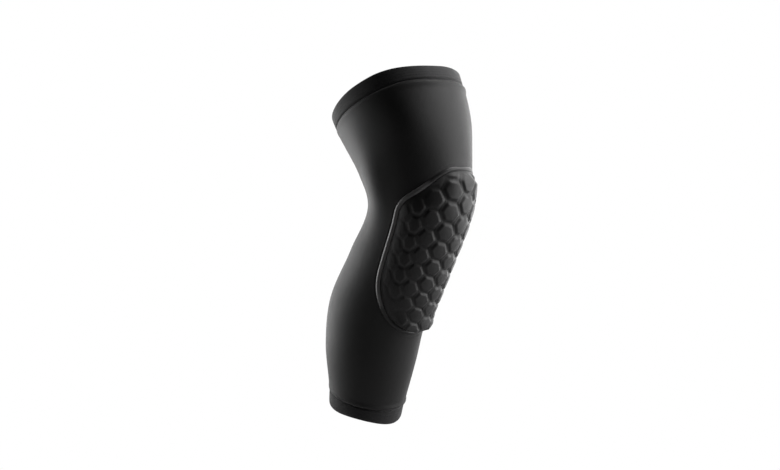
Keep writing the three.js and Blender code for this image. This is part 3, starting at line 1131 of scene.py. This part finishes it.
thighStitches = hemStitching("thighStitches", thighEdge, thighSeam)
calfStitches = hemStitching("calfStitches", calfEdge, calfSeam)
for row in (thighStitches, calfStitches):
    row.data.shade_smooth()
    placePiece(row, "hem", seamThread)
print("stitches:", len(thighStitches.data.polygons) + len(calfStitches.data.polygons), "faces")

# Stage, light and camera

photoView = {
    "azimuth": -51.5,
    "elevation": 3.0,
    "distance": 0.83,
    "aim": (-0.0224, 0.0251, -0.0360),
    "lens": 31.92,
    "sensor": 36.0,
    "nearest": 0.01,
}
viewTurn, viewTip = math.radians(photoView["azimuth"]), math.radians(photoView["elevation"])
levelView = Vector((math.sin(viewTurn), -math.cos(viewTurn), 0))
towards = levelView * math.cos(viewTip) + Vector((0, 0, math.sin(viewTip)))
viewRight = Vector((math.cos(viewTurn), math.sin(viewTurn), 0))


def addCamera():
    data = bpy.data.cameras.new("photoCamera")
    data.lens, data.sensor_width, data.sensor_fit = photoView["lens"], photoView["sensor"], "HORIZONTAL"
    data.clip_start = photoView["nearest"]
    camera = addObject("photoCamera", data)
    camera.location = Vector(photoView["aim"]) + towards * photoView["distance"]
    camera.rotation_euler = (-towards).to_track_quat("-Z", "Y").to_euler()
    scene.camera = camera


studio = {
    "floorHeight": -0.46,
    "floorHalf": 6.0,
    "floorTone": 0.25,
    "floorRough": 0.9,
    "middle": (0, 0.03, 0),
    "aim": (0, 0.03, -0.05),
    "boxes": {  # turn from the camera towards its right, distance, rise, width, height, power
        "rightBox": (90, 1.1, 0.08, 1.0, 1.5, 15.5),
        "highBox": (82, 0.75, 1.05, 0.4, 0.5, 7),
        "rightEdge": (140, 1.2, 0.0, 0.7, 1.6, 13),
        "leftBox": (-112, 1.1, -0.2, 0.9, 1.3, 16.6),
        "leftEdge": (-150, 1.2, 0.0, 0.7, 1.6, 7),
    },
    "fill": 0.006,
    "floorGlow": 0.05,
}


def seenWhite(tree, shader, out, kind):
    # plain white in the picture, while the given shader does the lighting
    white = addNode(tree, kind)
    setInputs(white, {"Color": (1, 1, 1, 1), "Strength": 1.0})
    mix = addNode(tree, "ShaderNodeMixShader")
    tree.links.new(addNode(tree, "ShaderNodeLightPath").outputs["Is Camera Ray"], mix.inputs[0])
    tree.links.new(shader.outputs[0], mix.inputs[1])
    tree.links.new(white.outputs[0], mix.inputs[2])
    tree.links.new(mix.outputs[0], out.inputs["Surface"])


def addStudio():
    half, level = studio["floorHalf"], studio["floorHeight"]
    mesh = bpy.data.meshes.new("studioFloor")
    corners = [(x * half, y * half, level) for x, y in ((-1, -1), (1, -1), (1, 1), (-1, 1))]
    mesh.from_pydata(corners, [], [(0, 1, 2, 3)])
    floor = addObject("studioFloor", mesh)
    pale = bpy.data.materials.new("paleFloor")
    pale.use_nodes = True
    shader = pale.node_tree.nodes["Principled BSDF"]
    setInputs(shader, {
        "Base Color": (*[studio["floorTone"]] * 3, 1), "Roughness": studio["floorRough"],
        "Emission Color": (1, 1, 1, 1), "Emission Strength": studio["floorGlow"],
    })
    seenWhite(pale.node_tree, shader, pale.node_tree.nodes["Material Output"], "ShaderNodeEmission")
    mesh.materials.append(pale)
    for name, (angle, far, rise, width, height, power) in studio["boxes"].items():
        data = bpy.data.lights.new(name, "AREA")
        data.shape, data.size, data.size_y, data.energy = "RECTANGLE", width, height, power
        light = addObject(name, data)
        where = levelView * math.cos(math.radians(angle)) + viewRight * math.sin(math.radians(angle))
        light.location = where * far + Vector(studio["middle"]) + Vector((0, 0, rise))
        aim = Vector(studio["aim"]) - light.location
        light.rotation_euler = aim.to_track_quat("-Z", "Y").to_euler()
        light.visible_camera = False
    world = bpy.data.worlds.new("studioAir")
    world.use_nodes = True
    tree = world.node_tree
    tree.nodes.clear()
    dim = addNode(tree, "ShaderNodeBackground")
    setInputs(dim, {"Color": (1, 1, 1, 1), "Strength": studio["fill"]})
    seenWhite(tree, dim, addNode(tree, "ShaderNodeOutputWorld"), "ShaderNodeBackground")
    scene.world = world
    scene.view_settings.view_transform = "Standard"


addCamera()
addStudio()
print("stage and camera set")
